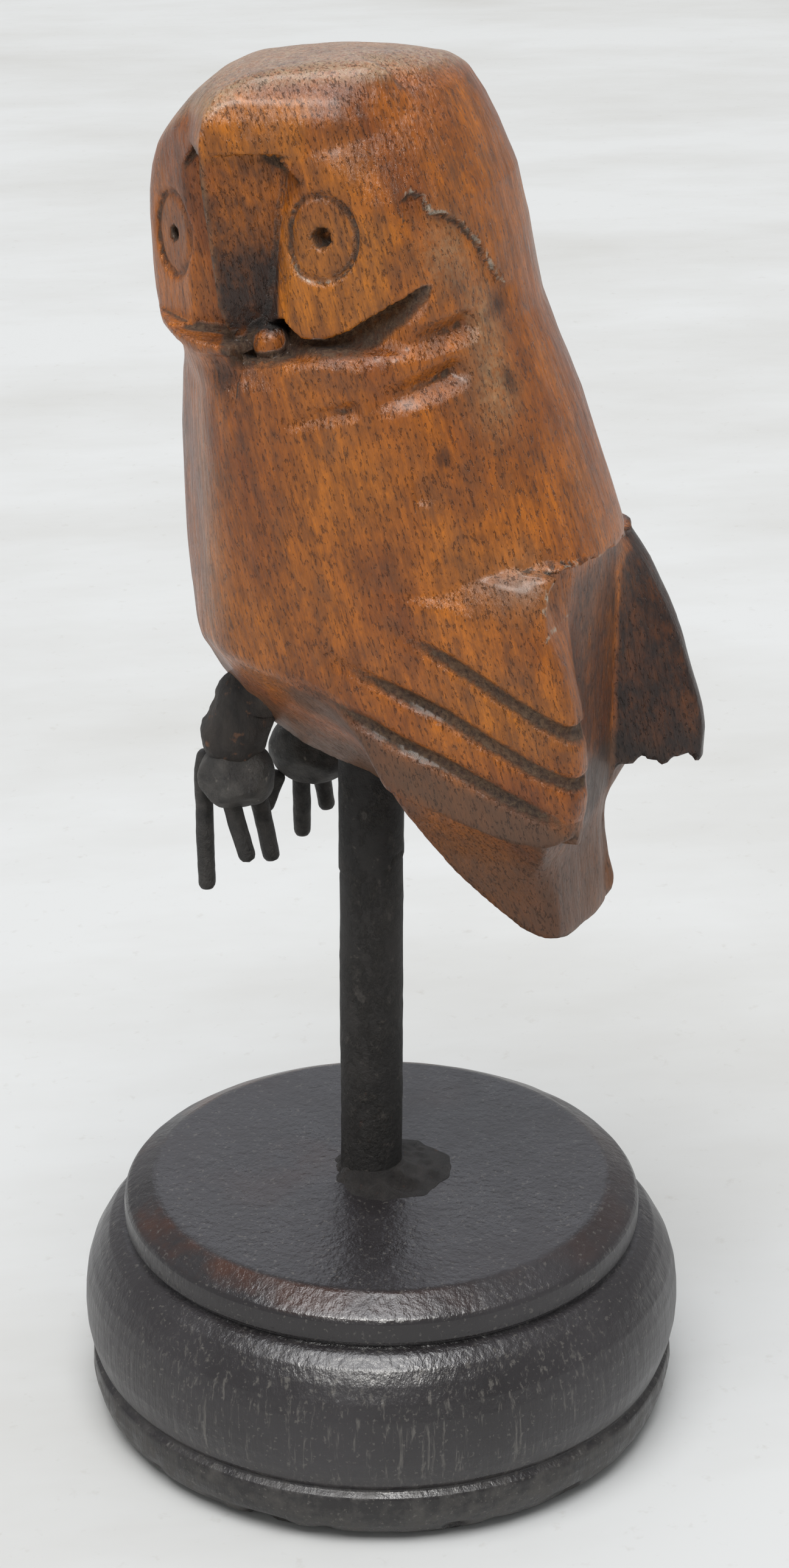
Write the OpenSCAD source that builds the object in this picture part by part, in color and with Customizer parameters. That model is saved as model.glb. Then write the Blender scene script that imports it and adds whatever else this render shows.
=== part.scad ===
// Carved wooden owl on a post in a turned wooden base.
// The origin is the centre of the base's underside, +Z is up, the bird's breast
// faces -Y and its left wing is on +X. All sizes are in millimetres.

/* [Base] */
// Widest diameter of the turned base
base_d = 90; // [70:1:130]
// Height of the base from its underside to its flat top
base_h = 36.4; // [30:0.2:55]
// Height of the foot ring under the lower groove
foot_h = 8.6; // [6:0.2:11]
// Width and depth of the two turned grooves
groove = 0.9; // [0.5:0.1:1.4]
// Height of the plain band under the top edge
band_h = 3.8; // [2.5:0.1:6]
// Diameter of the plain band
band_d = 77.6; // [58:0.2:110]
// Height of the sloping edge of the top
edge_h = 2.4; // [1:0.1:4]
// Diameter of the flat top inside the sloping edge
top_d = 68; // [50:0.5:100]

/* [Post] */
// Diameter of the round post
post_d = 9.5; // [7:0.1:12]
// Length of the post's tenon in the base
post_tenon = 22; // [12:1:26]
// Depth of the post's hole in the bird, above the belly
post_bore = 16; // [10:0.5:22]
// How far the post stands in front of the base's centre
post_offset = 1.5; // [0:0.1:4]
// Height of the belly over the top of the base, along the post
perch_h = 66; // [45:1:90]
// Diameter of the filler round the foot of the post
filler_d = 15; // [14:0.5:22]
// Height of the filler
filler_h = 1.8; // [1:0.1:3]

/* [Bird] */
// Height of the bird from the tip of the tail to the crown
bird_h = 122; // [95:1:150]
// Width of the bird over the wings
bird_w = 49; // [39:1:60]
// Length of the bird from breast to back
bird_l = 62; // [50:1:76]
// How far the head is turned to the bird's left
face_turn = 72; // [50:1:85]
// How far the wings stand out behind the back
wing_rise = 8.5; // [4:0.5:11]

/* [Face] */
// Forward reach of the beak's ridge from the middle of the head
beak_reach = 27.4; // [23:0.2:30]
// Distance of the cheeks' planes from the middle of the head
cheek_reach = 22.4; // [19:0.2:24]
// Distance of each eye from the middle line of the face
eye_side = 13; // [10:0.5:15]
// Height of the eyes under the crown
eye_drop = 21.5; // [17:0.5:26]
// Outer diameter of the ring cut round each eye
eye_ring_d = 10.4; // [8:0.2:12]
// Diameter of each pupil's hole
pupil_d = 2.6; // [1.5:0.1:4]

/* [Legs] */
// Diameter of the leg stubs
leg_d = 9; // [6:0.2:9.4]
// Depth of the leg stubs' holes in the belly
leg_bore = 9; // [6:0.5:11]
// Diameter of the round feet
foot_d = 12; // [11.6:0.2:14]
// Diameter of the spigot that joins a leg and its foot
spigot_d = 4; // [3:0.1:5]
// Length of that spigot
spigot_l = 2; // [1.5:0.1:2.5]
// Diameter of the wire toes
toe_d = 2.7; // [2:0.1:3.2]

/* [Hidden] */
$fn = 64;

walnut = "#2c1f1b";
iron = "#3a3634";
pitch = "#4a4541";
honey = "#a5602a";

// The bird's own frame starts on the post's axis, at the height of the tip of the tail.
// Heights are hundredths of bird_h, fronts and backs of bird_l, and half widths of bird_w.
// Each row is a level of the bird: height, front, back, half width.
LEVELS = [
    [0, 43, 52.5, 20], [7.5, 27, 52.5, 27], [12.5, 14, 52.5, 31], [17, -7, 52.5, 37],
    [19.5, -15, 52.5, 42], [24, -27, 52.5, 46], [28, -34, 52.5, 48], [32, -38, 52.5, 49],
    [38.5, -41, 52.5, 50], [44.5, -42.5, 52.5, 50], [46, -42.5, 57, 50], [50, -43, 55, 50],
    [55.5, -43, 51, 50], [61.5, -42, 47, 50], [67, -41.5, 42.5, 49], [69.5, -44.5, 40, 50],
    [75.5, -47, 37, 51], [80.5, -48, 34.5, 52], [86, -46, 31, 50], [88.5, -44.5, 29, 48],
    [91, -41.5, 27, 46], [92, -40, 26, 44.5], [93.5, -38, 24, 42], [96.5, -33, 20.5, 37],
    [98.5, -23.5, 15.5, 28.5], [100, -10, 2.5, 12]];
// How square the back of a level is, by height: 2 is an ellipse and more is squarer
BACK_POWER = [[0, 6], [44, 5], [60, 3], [80, 2.3], [100, 2.2]];
FRONT_POWER = 2.4;
// Share of wing_rise at each height: the wings start at the shoulders and end over the tail
WING_SHARE = [[16.5, 0], [19, 0.9], [22, 1], [29, 0.95], [35, 0.7], [42, 0.3], [48, 0]];
// Direction of the wings' ridges from the back's middle, and the angles where they start
WING_A = 27;
WING_INNER_A = 18;
WING_OUTER_A = 45;
// The face is cut between these heights, and the beak is this wide to each side
FACE_LOW = 69.5;
FACE_HIGH = 91;
BEAK_HALF_A = 18;
BEAK_FLANK_A = 53;
CHEEK_A = 23;
// Height at which the slope of the belly crosses the post's axis
SEAT = 16;
MAX_STEP = 3.5;

base_r = base_d / 2;
seat_z = base_h + perch_h;
bird_z = seat_z - bird_h * SEAT / 100;
face_a = 180 - face_turn;
foot_r = foot_d / 2;
foot_flat = sqrt(foot_r ^ 2 - (leg_d / 2 + 0.3) ^ 2);
toe_r = toe_d / 2;

// Each leg: side from the post, place along the belly, lean, and length under the belly
LEFT = [6.5, -14.9, 22, 10.5];
RIGHT = [-10, -12.2, 8, 11.4];
// Each toe from the centre of its foot: where the wire starts and where its tip ends
LEFT_TOES = [[[-0.4, -3.6, -0.5], [-0.5, -4.5, -19.6]],
             [[1.2, -0.3, -1], [1.7, 3.2, -13]],
             [[-3.4, 1.4, -1], [-4.2, 4.4, -15.2]]];
RIGHT_TOES = [[[0.4, -0.7, -1], [0.2, -0.7, -13]],
              [[-3.2, 0.6, -1], [-3.8, 1.8, -10]],
              [[3, -3, -1.5], [4, -5.2, -8]]];

function column(table, k) = [for (row = table) [row[0], row[k]]];
function front(t) = lookup(t, column(LEVELS, 1)) * bird_l / 100;
function back(t) = lookup(t, column(LEVELS, 2)) * bird_l / 100;
function half(t) = lookup(t, column(LEVELS, 3)) * bird_w / 100;

// Radius of a level in direction a, measured from the back (+Y) towards the left wing (+X)
function round_r(t, a) =
    let (n = cos(a) > 0 ? lookup(t, BACK_POWER) : FRONT_POWER,
         l = (back(t) - front(t)) / 2)
    (abs(sin(a) / half(t)) ^ n + abs(cos(a) / l) ^ n) ^ (-1 / n);

// The wing's ridge rises from its inner angle and falls to its outer angle
function off_axis(a) = abs(a > 180 ? a - 360 : a);
function ridge(b) = max(0, min((b - WING_INNER_A) / (WING_A - WING_INNER_A),
                               (WING_OUTER_A - b) / (WING_OUTER_A - WING_A)));
function wing_r(t, a) = wing_rise * lookup(t, WING_SHARE) * ridge(off_axis(a));

// The face is a flat plane for each cheek, with the beak's two flanks between them
function flank_r(b) = beak_reach * cos(BEAK_FLANK_A) / cos(BEAK_FLANK_A - b);
function cheek_r(b) = b < 75 ? cheek_reach / cos(b - CHEEK_A) : 100;

function level_r(t, a) =
    let (r = round_r(t, a) + wing_r(t, a), b = abs(a - face_a))
    t <= FACE_LOW || t >= FACE_HIGH ? r : b <= BEAK_HALF_A ? flank_r(b) : min(cheek_r(b), r);

function spread(a, b, n) = [for (i = [0:n - 1]) a + (b - a) * i / n];
ANGLES = concat(spread(0, WING_A, 3), spread(WING_A, face_a - BEAK_HALF_A, 7),
                spread(face_a - BEAK_HALF_A, face_a + BEAK_HALF_A, 6),
                spread(face_a + BEAK_HALF_A, 360 - WING_A, 22), spread(360 - WING_A, 360, 3));
STEPS = concat([for (i = [0:len(LEVELS) - 2])
                    let (a = LEVELS[i][0], b = LEVELS[i + 1][0], n = ceil((b - a) / MAX_STEP))
                    for (t = spread(a, b, n)) t], [100]);

function level_point(t, a) =
    let (r = level_r(t, a), y = (front(t) + back(t)) / 2)
    [r * sin(a), y + r * cos(a), t * bird_h / 100];

module carved_block() {
    n = len(ANGLES);
    m = len(STEPS);
    rings = [for (t = STEPS, a = ANGLES) level_point(t, a)];
    ends = [[0, (front(0) + back(0)) / 2, 0], [0, (front(100) + back(100)) / 2, bird_h]];
    sides = [for (i = [0:m - 2], j = [0:n - 1], k = [0, 1])
                 let (a = i * n + j, b = i * n + (j + 1) % n)
                 k == 0 ? [a, b + n, b] : [a, a + n, b + n]];
    caps = [for (j = [0:n - 1], k = [0, 1])
                let (a = j, b = (j + 1) % n, top = (m - 1) * n)
                k == 0 ? [n * m, a, b] : [n * m + 1, top + b, top + a]];
    polyhedron(points = concat(rings, ends), faces = concat(sides, caps));
}

// The bird stands on the post's axis, which is a little in front of the base's centre
module bird_frame() {
    translate([0, -post_offset, bird_z]) children();
}

// Place of an eye: x across the face, y along the way that the face looks
module at_eye(side) {
    mid_y = (front(80) + back(80)) / 2;
    tilt = side * CHEEK_A;
    depth = (cheek_reach - eye_side * sin(CHEEK_A)) / cos(CHEEK_A);
    bird_frame()
        translate([0, mid_y, bird_h - eye_drop])
            rotate([0, 0, -face_a])
                translate([side * eye_side, depth, 0])
                    rotate([0, 0, -tilt])
                        rotate([-90, 0, 0]) children();
}

module eye_cut(side) {
    at_eye(side) {
        translate([0, 0, -3]) cylinder(d = pupil_d, h = 6);
        difference() {
            translate([0, 0, -0.6]) cylinder(d = eye_ring_d, h = 3);
            translate([0, 0, -1]) cylinder(d = eye_ring_d - 1.4, h = 4);
        }
    }
}

// Where a leg's axis crosses the belly's slope, then a frame with Z along the leg, upwards
BELLY = [for (i = [9:-1:0]) [LEVELS[i][1], LEVELS[i][0]]];
function belly_z(y) = bird_z + bird_h * lookup(y / bird_l * 100, BELLY) / 100;

module leg_frame(leg) {
    translate([leg[0], leg[1] - post_offset, belly_z(leg[1])])
        rotate([-leg[2], 0, 0]) children();
}

function foot_centre(leg) = [leg[0], leg[1] - post_offset - leg[3] * sin(leg[2]),
                             belly_z(leg[1]) - leg[3] * cos(leg[2])];

module leg_shank(leg, extra) {
    leg_frame(leg) translate([0, 0, foot_flat - leg[3]])
        cylinder(d = leg_d, h = leg[3] - foot_flat + leg_bore + extra);
}

module leg_spigot(leg) {
    leg_frame(leg) translate([0, 0, foot_flat - leg[3] - spigot_l])
        cylinder(d = spigot_d, h = spigot_l + 1);
}

module leg(leg) {
    color("#352a24") {
        leg_shank(leg, 0);
        leg_spigot(leg);
    }
}

module toe(leg, wire) {
    run = wire[1] - wire[0];
    length = norm(run) - toe_r;
    translate(foot_centre(leg) + wire[0])
        rotate([0, acos(run[2] / norm(run)), atan2(run[1], run[0])]) {
            cylinder(d = toe_d, h = length, $fn = 24);
            translate([0, 0, length]) sphere(d = toe_d, $fn = 24);
        }
}

module foot(leg, wires) {
    color(pitch) difference() {
        translate(foot_centre(leg)) sphere(d = foot_d);
        leg_frame(leg) translate([0, 0, foot_flat - leg[3]]) cylinder(d = foot_d * 2, h = foot_d);
        leg_spigot(leg);
        for (wire = wires) toe(leg, wire);
    }
}

// Half outline of the base: foot ring, groove, bulge, groove, band, sloping edge
function quarter(r, n) = [for (i = [0:n]) [r * (sin(90 * i / n) - 1), r * (1 - cos(90 * i / n))]];
module base_outline() {
    foot_round = 2;
    bulge_z = foot_h + 8;
    bulge_r = 9;
    band_z = base_h - edge_h - band_h;
    swell = (band_z - bulge_z - groove) / sqrt(1 - ((band_d / 2 + 1 - base_r + bulge_r) / bulge_r) ^ 2);
    low = foot_h + groove;
    steps = 16;
    bulge = [for (i = [0:steps])
                 let (z = low + (band_z - groove - low) * i / steps)
                 [base_r - bulge_r + bulge_r * sqrt(1 - ((z - bulge_z) / swell) ^ 2), z]];
    polygon(concat(
        [[0, 0]],
        [for (p = quarter(foot_round, 6)) [base_r - 0.2 + p[0], p[1]]],
        [[base_r - 0.2, foot_h], [base_r - 0.2 - 2 * groove, foot_h + groove / 2]],
        bulge,
        [[band_d / 2 - groove, band_z - groove / 2], [band_d / 2, band_z], [band_d / 2, band_z + band_h],
         [top_d / 2, base_h], [0, base_h]]));
}

module base() {
    color(walnut) difference() {
        rotate_extrude($fn = 128) base_outline();
        post_shape();
    }
}

module post_shape() {
    translate([0, -post_offset, base_h - post_tenon])
        cylinder(d = post_d, h = post_tenon + perch_h + post_bore);
}

module post() {
    color(iron) post_shape();
}

module filler_collar() {
    color(pitch) translate([0, -post_offset, base_h])
        rotate_extrude()
            difference() {
                intersection() {
                    circle(d = filler_d);
                    square([filler_d / 2, filler_h]);
                }
                square([post_d / 2, filler_h * 2]);
            }
}

module bird_body() {
    color(honey) difference() {
        bird_frame() carved_block();
        post_shape();
        leg_shank(LEFT, 0);
        leg_shank(RIGHT, 0);
        eye_cut(1);
        eye_cut(-1);
    }
}

module left_leg() { leg(LEFT); }
module right_leg() { leg(RIGHT); }
module left_foot() { foot(LEFT, LEFT_TOES); }
module right_foot() { foot(RIGHT, RIGHT_TOES); }
module left_toe(i) { color(iron) toe(LEFT, LEFT_TOES[i]); }
module right_toe(i) { color(iron) toe(RIGHT, RIGHT_TOES[i]); }

base();
post();
filler_collar();
bird_body();
left_leg();
right_leg();
left_foot();
right_foot();
left_toe(0);  // left_toe_1
left_toe(1);  // left_toe_2
left_toe(2);  // left_toe_3
right_toe(0);  // right_toe_1
right_toe(1);  // right_toe_2
right_toe(2);  // right_toe_3
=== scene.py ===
import math

import bpy
import numpy as np
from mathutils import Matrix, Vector


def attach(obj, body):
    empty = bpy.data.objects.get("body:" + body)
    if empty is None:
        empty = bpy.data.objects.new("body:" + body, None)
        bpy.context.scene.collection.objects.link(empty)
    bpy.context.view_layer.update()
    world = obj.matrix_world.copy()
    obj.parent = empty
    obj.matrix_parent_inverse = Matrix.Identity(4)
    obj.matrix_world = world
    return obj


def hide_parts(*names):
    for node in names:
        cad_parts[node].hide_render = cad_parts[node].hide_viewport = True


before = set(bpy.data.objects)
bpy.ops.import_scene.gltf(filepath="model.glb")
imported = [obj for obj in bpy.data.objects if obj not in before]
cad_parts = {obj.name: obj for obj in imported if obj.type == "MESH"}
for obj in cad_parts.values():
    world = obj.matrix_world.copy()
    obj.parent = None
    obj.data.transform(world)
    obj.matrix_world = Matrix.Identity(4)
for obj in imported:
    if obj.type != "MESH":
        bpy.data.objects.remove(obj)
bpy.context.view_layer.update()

# --- Camera, floor and light ---------------------------------------------------------------
# The figurine stands on a pale worn table under a broad soft light from above, with a second
# soft light on the camera's side that puts the gloss on the owl's forehead.

LOOK_AT = Vector((0, 0, 0.100))
LOOK_FROM = Vector((0.4022, 0.1464, 0.2846))

lens = bpy.data.cameras.new("camera")
lens.lens = 75.03
lens.sensor_width = 36
lens.shift_x = 0.0086
lens.shift_y = -0.0023
lens.clip_start = 0.01
camera = bpy.data.objects.new("camera", lens)
camera.location = LOOK_FROM
camera.rotation_euler = (LOOK_AT - LOOK_FROM).to_track_quat("-Z", "Y").to_euler()
bpy.context.collection.objects.link(camera)
bpy.context.scene.camera = camera


def colour(text):
    """The linear colour of a hex paint number, by the sRGB curve."""
    parts = [int(text[k:k + 2], 16) / 255 for k in (1, 3, 5)]
    return [p / 12.92 if p <= 0.04045 else ((p + 0.055) / 1.055) ** 2.4 for p in parts] + [1]


def soft_light(name, kind, place, power, tone, **settings):
    """A lamp that faces the middle of the figurine from its place."""
    light = bpy.data.lights.new(name, kind)
    light.energy = power
    light.color = colour(tone)[:3]
    for key, value in settings.items():
        setattr(light, key, value)
    lamp = bpy.data.objects.new(name, light)
    lamp.location = place
    lamp.rotation_euler = (LOOK_AT - Vector(place)).to_track_quat("-Z", "Y").to_euler()
    bpy.context.collection.objects.link(lamp)
    return lamp


def put(tree, kind, inputs=None, **settings):
    """A new node. Each input is a number, a colour, or the output of another node."""
    node = tree.nodes.new(kind)
    for key, value in settings.items():
        setattr(node, key, value)
    for key, value in (inputs or {}).items():
        if isinstance(value, bpy.types.NodeSocket):
            tree.links.new(value, node.inputs[key])
        else:
            node.inputs[key].default_value = value
    return node


def finish(name, roughness, gloss=0.5):
    """A material with one shader, whose roughness and gloss are the same all over."""
    material = bpy.data.materials.new(name)
    material.use_nodes = True
    shader = material.node_tree.nodes["Principled BSDF"]
    shader.inputs["Roughness"].default_value = roughness
    shader.inputs["Specular IOR Level"].default_value = gloss
    return material, material.node_tree, shader


def pattern(tree, scale, stretch=(1, 1, 1), turn=(0, 0, 0), detail=4, rough=0.55, twist=0.0,
            seed=0.0):
    """Noise on object coordinates: scale spots to the metre, drawn out along the turned axes."""
    where = put(tree, "ShaderNodeTexCoord").outputs["Object"]
    laid = put(tree, "ShaderNodeMapping", {"Vector": where, "Location": (seed, seed, seed),
                                           "Rotation": turn, "Scale": stretch}, vector_type="TEXTURE")
    return put(tree, "ShaderNodeTexNoise", {"Vector": laid.outputs[0], "Scale": scale, "Detail": detail,
                                            "Roughness": rough, "Distortion": twist}).outputs[0]


def range_of(tree, value, low, high, start=0.0, end=1.0):
    """Draws a value out so that low becomes start and high becomes end."""
    return put(tree, "ShaderNodeMapRange", {"Value": value, "From Min": low, "From Max": high,
                                            "To Min": start, "To Max": end}).outputs[0]


def layer(tree, share, under, over):
    """Lays one colour over another by a share from 0 to 1."""
    node = put(tree, "ShaderNodeMix", data_type="RGBA")
    for key, value in ((0, share), (6, under), (7, over)):
        if isinstance(value, bpy.types.NodeSocket):
            tree.links.new(value, node.inputs[key])
        else:
            node.inputs[key].default_value = value
    return node.outputs[2]


def times(tree, a, b):
    """The product of two values."""
    return put(tree, "ShaderNodeMath", {0: a, 1: b}, operation="MULTIPLY").outputs[0]


world = bpy.data.worlds.new("studio")
world.use_nodes = True
world.node_tree.nodes["Background"].inputs["Color"].default_value = colour("#f2f4f6")
world.node_tree.nodes["Background"].inputs["Strength"].default_value = 0.42
bpy.context.scene.world = world
bpy.context.scene.view_settings.view_transform = "Standard"

soft_light("sky_light", "SUN", (0.30, 0.02, 1.0), 2.3, "#fdfdff", angle=math.radians(40))
front_panel = soft_light("front_panel", "AREA", (0.54, 0.15, 0.78), 7.5, "#fffdf8", shape="RECTANGLE",
                         size=0.24, size_y=0.24)
top_panel = soft_light("top_panel", "AREA", (-0.13, -0.05, 1.05), 6.8, "#fbfcff", shape="RECTANGLE",
                       size=0.30, size_y=0.34)
back_panel = soft_light("back_panel", "AREA", (-0.90, -0.33, 0.55), 1.1, "#eef2ff", shape="RECTANGLE",
                        size=0.90, size_y=0.50)
for panel in (front_panel, top_panel, back_panel):
    panel.visible_diffuse = False

table_finish, tree, shader = finish("pale_table", 0.55, 0.3)
smears = range_of(tree, pattern(tree, 9, (1, 2.5, 1), (0, 0, 0.5), 6, 0.62), 0.42, 0.75)
specks = range_of(tree, pattern(tree, 260, detail=3, rough=0.7), 0.62, 0.78)
tone = layer(tree, smears, colour("#e4e5e3"), colour("#d3d2cd"))
tone = layer(tree, times(tree, specks, 0.25), tone, colour("#b3aca0"))
tree.links.new(tone, shader.inputs["Base Color"])
table_mesh = bpy.data.meshes.new("table_top")
table_mesh.from_pydata([(-9, -9, 0), (9, -9, 0), (9, 9, 0), (-9, 9, 0)], [], [(0, 1, 2, 3)])
table_mesh.materials.append(table_finish)
table_top = bpy.data.objects.new("table_top", table_mesh)
bpy.context.collection.objects.link(table_top)

# --- Turned base ---------------------------------------------------------------------------
# One block of wood turned on a lathe: a foot ring, a groove, a full round bulge, a second groove,
# a plain band and a sloping edge round a flat top. It is stained near black, and the foot ring's
# lower edge and the sloping edge are worn and chipped.

MM = 0.001


def ease(value, start, end):
    """0 below start and 1 above end, with a smooth cubic step between them."""
    share = np.clip((value - start) / (end - start), 0, 1)
    return share * share * (3 - 2 * share)


def fade(value, start, end):
    """1 below start and 0 above end, with the same smooth step between them."""
    return ease(-value, -end, -start)


def turns(count):
    """Angles of a ring's points, a count of them spread once round."""
    return np.linspace(0, 2 * np.pi, count, endpoint=False)


def scatter(i, j, k, seed):
    """A number from 0 to 1 for each whole-number corner, from the fraction of a large sine."""
    value = np.sin(i * 12.9898 + j * 78.233 + k * 37.719 + seed * 4.137) * 43758.5453
    return value - np.floor(value)


def unevenness(x, y, z, size, seed):
    """Smooth waves from -1 to 1: corners a size apart have scattered heights, eased between."""
    x, y, z = x / size, y / size, z / size
    i, j, k = np.floor(x), np.floor(y), np.floor(z)
    u, v, w = (f * f * (3 - 2 * f) for f in (x - i, y - j, z - k))
    total = 0
    for a in (0, 1):
        for b in (0, 1):
            for c in (0, 1):
                share = (u if a else 1 - u) * (v if b else 1 - v) * (w if c else 1 - w)
                total = total + share * scatter(i + a, j + b, k + c, seed)
    return 2 * total - 1


def make_piece(name, points, faces, material):
    """A mesh object at the origin from points in millimetres and rows of corner numbers."""
    mesh = bpy.data.meshes.new(name)
    corners = faces.shape[1]
    mesh.vertices.add(len(points))
    mesh.vertices.foreach_set("co", (points * MM).astype(np.float32).ravel())
    mesh.loops.add(faces.size)
    mesh.loops.foreach_set("vertex_index", faces.astype(np.int32).ravel())
    mesh.polygons.add(len(faces))
    mesh.polygons.foreach_set("loop_start", np.arange(0, faces.size, corners, dtype=np.int32))
    mesh.polygons.foreach_set("use_smooth", np.full(len(faces), True))
    mesh.update(calc_edges=True)
    mesh.validate()
    mesh.materials.append(material)
    piece = bpy.data.objects.new(name, mesh)
    bpy.context.collection.objects.link(piece)
    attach(piece, "root")
    return piece


def plus(tree, a, b):
    """The sum of two values."""
    return put(tree, "ShaderNodeMath", {0: a, 1: b}, operation="ADD").outputs[0]


def relief(tree, shader, height, depth):
    """Raises the surface by a height from 0 to 1 times a depth in metres."""
    bump = put(tree, "ShaderNodeBump", {"Height": height, "Distance": depth})
    tree.links.new(bump.outputs[0], shader.inputs["Normal"])


def rings_closed(x, y, z):
    """Points and quads of a surface on a grid, where each row is a closed ring. The first and
    last rows come with a radius near 0, so that the surface closes there."""
    rows, around = x.shape
    points = np.stack([x, y, z], -1).reshape(-1, 3)
    i, j = np.meshgrid(np.arange(rows - 1), np.arange(around), indexing="ij")
    a, b = i * around + j, i * around + (j + 1) % around
    quads = np.stack([a, b, b + around, a + around], -1).reshape(-1, 4)
    return points, quads


# Radius and height along the turned outline, from the middle of the underside to that of the top
BASE_LINE = np.array([
    [0.01, 0], [20, 0], [36, 0], [40.4, 0.2], [42.0, 0.9], [43.1, 1.9], [43.8, 3.2], [44.2, 4.6],
    [44.4, 6.0], [44.3, 7.6], [44.1, 8.3], [43.5, 8.7], [43.0, 9.05], [43.3, 9.4], [43.9, 10.3],
    [44.5, 12.2], [44.9, 14.4], [45, 16.6], [44.9, 18.8], [44.6, 21.2], [43.9, 23.6], [42.6, 26],
    [41.2, 27.9], [39.5, 29.1], [38.3, 29.5], [37.9, 29.85], [38.3, 30.2], [38.75, 30.6],
    [38.8, 31.5], [38.8, 32.6], [38.65, 33.6], [38.2, 34.2], [36.2, 35.3], [34.5, 36.15],
    [33.6, 36.4], [31, 36.42], [24, 36.4], [15, 36.4], [7, 36.4], [0.01, 36.4]])
BASE_TOP = 36.4
BASE_ROUND, BASE_STEP = 288, 0.7

along = np.concatenate([[0], np.cumsum(np.hypot(*np.diff(BASE_LINE, axis=0).T))])
at = np.unique(np.concatenate([np.arange(0, along[-1], BASE_STEP), along]))
turn, at = np.meshgrid(turns(BASE_ROUND), at)
radius, height = (np.interp(at, along, BASE_LINE[:, k]) for k in (0, 1))
x, y = radius * np.cos(turn), radius * np.sin(turn)
# How far each point belongs to the rim, to the foot ring and to the sloping edge
rim = ease(radius, 30, 40)
foot = fade(height, 7, 8.8) * rim
edge = ease(height, 33.2, 34.5) * fade(height, 35.8, 36.5) * rim
wave = unevenness(x, y, height * 0.3, 16, 1)
pits = unevenness(x, y, height, 3.0, 2)
chips = ease(unevenness(x, y, height, 3.6, 3), 0.1, 0.7)
radius = radius - rim * (0.12 + 0.14 * wave) - foot * (0.16 + 0.16 * pits) - edge * 0.15 * pits
radius = radius - foot * fade(height, 0.8, 3.6) * chips * 1.5
ripple = 0.10 * (1 - rim) * (height > 30) * unevenness(x, y, height, 13, 5)
lift = foot * fade(height, 0, 2.5) * chips * 0.8 + ripple
base_points, base_faces = rings_closed(radius * np.cos(turn), radius * np.sin(turn),
                                       np.minimum(height + lift, BASE_TOP))

base_finish, tree, shader = finish("black_stain", 0.36, 0.55)
BASE_BLACK = colour("#2b2829")
BASE_PURPLE = colour("#363335")
BASE_RED = colour("#4a2b1d")
BASE_DUST = colour("#6e6a64")
FOOT_SHADE_BLACK = colour("#191615")
blotch = range_of(tree, pattern(tree, 42, detail=5, rough=0.6), 0.35, 0.68)
lines = pattern(tree, 900, (1, 1, 14), detail=3, rough=0.6)
tone = layer(tree, blotch, BASE_BLACK, BASE_PURPLE)
place = put(tree, "ShaderNodeSeparateXYZ", {0: put(tree, "ShaderNodeTexCoord").outputs["Object"]})
at_x, at_y, at_z = (place.outputs[k] for k in range(3))
# Bare reddish wood in patches on the sloping edge, most of it at the left
on_slope = times(tree, range_of(tree, at_z, 0.0338, 0.0348), range_of(tree, at_z, 0.03638, 0.0362))
patches = range_of(tree, pattern(tree, 55, detail=5, rough=0.6, seed=0.3), 0.40, 0.56)
to_left = range_of(tree, at_y, 0.016, -0.012, 0.25, 1.0)
tone = layer(tree, times(tree, times(tree, on_slope, patches), to_left), tone, BASE_RED)
# Painted shade darkens the foot ring, and dust lies on and just above it
tone = layer(tree, times(tree, range_of(tree, at_z, 0.0088, 0.0078), 0.75), tone, FOOT_SHADE_BLACK)
low_dust = times(tree, range_of(tree, at_z, 0.0135, 0.007),
                 range_of(tree, pattern(tree, 330, detail=5, rough=0.7), 0.42, 0.66))
tone = layer(tree, times(tree, low_dust, 0.35), tone, BASE_DUST)
# Upright scratches on the bulge's near side, and pale specks all over
strokes = range_of(tree, pattern(tree, 1100, (1, 1, 12), detail=4, rough=0.7, twist=0.3), 0.56, 0.66)
near_side = range_of(tree, plus(tree, at_x, times(tree, at_y, 0.36)), 0.024, 0.038)
on_bulge = times(tree, range_of(tree, at_z, 0.031, 0.027), range_of(tree, at_z, 0.008, 0.012))
scratches = times(tree, times(tree, strokes, near_side), on_bulge)
tone = layer(tree, times(tree, scratches, 0.62), tone, BASE_DUST)
speckle = range_of(tree, pattern(tree, 1500, detail=2, rough=0.6), 0.62, 0.70)
tone = layer(tree, times(tree, speckle, 0.5), tone, BASE_DUST)
tree.links.new(tone, shader.inputs["Base Color"])
rough = range_of(tree, plus(tree, blotch, pattern(tree, 260, detail=4)), 0.5, 1.5, 0.24, 0.42)
tree.links.new(plus(tree, rough, times(tree, low_dust, 0.3)), shader.inputs["Roughness"])
relief(tree, shader, plus(tree, pattern(tree, 420, detail=6, rough=0.65), lines), 0.00016)

base = make_piece("turned_base", base_points, base_faces, base_finish)
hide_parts("base")

# --- Round post ----------------------------------------------------------------------------
# A round iron rod that goes up into the belly, blackened and rough. A skin of old paint ends
# in a slanting seam under the belly, so the rod is a little thicker above it.

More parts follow.
